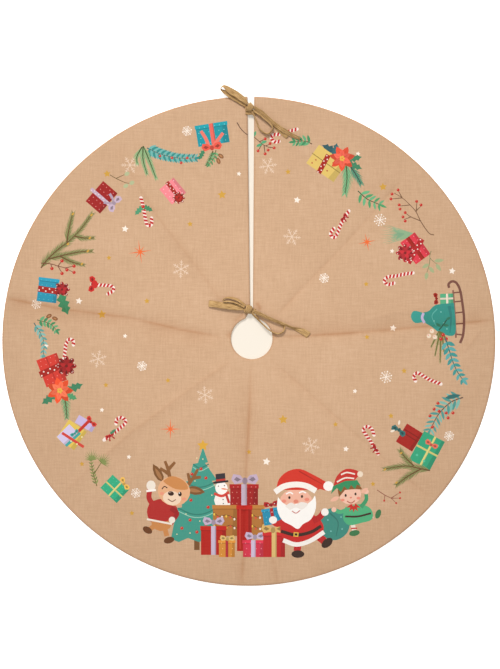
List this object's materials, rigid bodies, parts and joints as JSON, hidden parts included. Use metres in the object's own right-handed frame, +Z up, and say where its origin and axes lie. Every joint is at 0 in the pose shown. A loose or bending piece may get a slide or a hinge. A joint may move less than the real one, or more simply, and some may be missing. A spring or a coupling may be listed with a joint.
{
  "type": "tree skirt",
  "caption": "Round double-layer cloth tree skirt with an all-over holiday print, a trunk hole, a slit to the rim and tape bows that close it.",
  "frame": {"origin": "centre of the round cloth, on its underside, which is the floor it lies on", "axes": "+Z up out of the printed face, +Y from the centre along the slit to the rim, +X to the right"},
  "size_m": [0.9, 0.916, 0.0121],
  "materials": {
    "printed_cover": "matte woven, printed",
    "plain_lining": "matte woven",
    "sewing_thread": "satin thread",
    "jute_tape": "rough woven tape"
  },
  "bodies": {
    "rear_half": {"cover_rear_left": "printed_cover", "cover_rear_right": "printed_cover", "lining_rear_left": "plain_lining", "lining_rear_right": "plain_lining", "seam_thread_rear_left": "sewing_thread", "seam_thread_rear_right": "sewing_thread", "outer_knot": "jute_tape", "inner_knot": "jute_tape", "outer_left_loop": "jute_tape", "outer_right_loop": "jute_tape", "outer_long_tail": "jute_tape", "outer_short_tail": "jute_tape", "outer_left_lead": "jute_tape", "outer_right_lead": "jute_tape", "inner_left_tail": "jute_tape", "inner_left_loop": "jute_tape", "inner_right_loop": "jute_tape", "inner_right_tail": "jute_tape", "inner_left_lead": "jute_tape", "inner_right_lead": "jute_tape", "outer_left_tack": "sewing_thread", "outer_right_tack": "sewing_thread", "inner_left_tack": "sewing_thread", "inner_right_tack": "sewing_thread"},
    "front_half": {"cover_front": "printed_cover", "lining_front": "plain_lining", "seam_thread_front_rim": "sewing_thread", "seam_thread_front_hole": "sewing_thread"}
  },
  "joints": [
    {"name": "half_fold", "type": "hinge", "parent": "rear_half", "child": "front_half", "pos_m": [0, -0.018, 0.0028], "axis": [-1, 0, 0], "range_deg": [0, 160]}
  ]
}
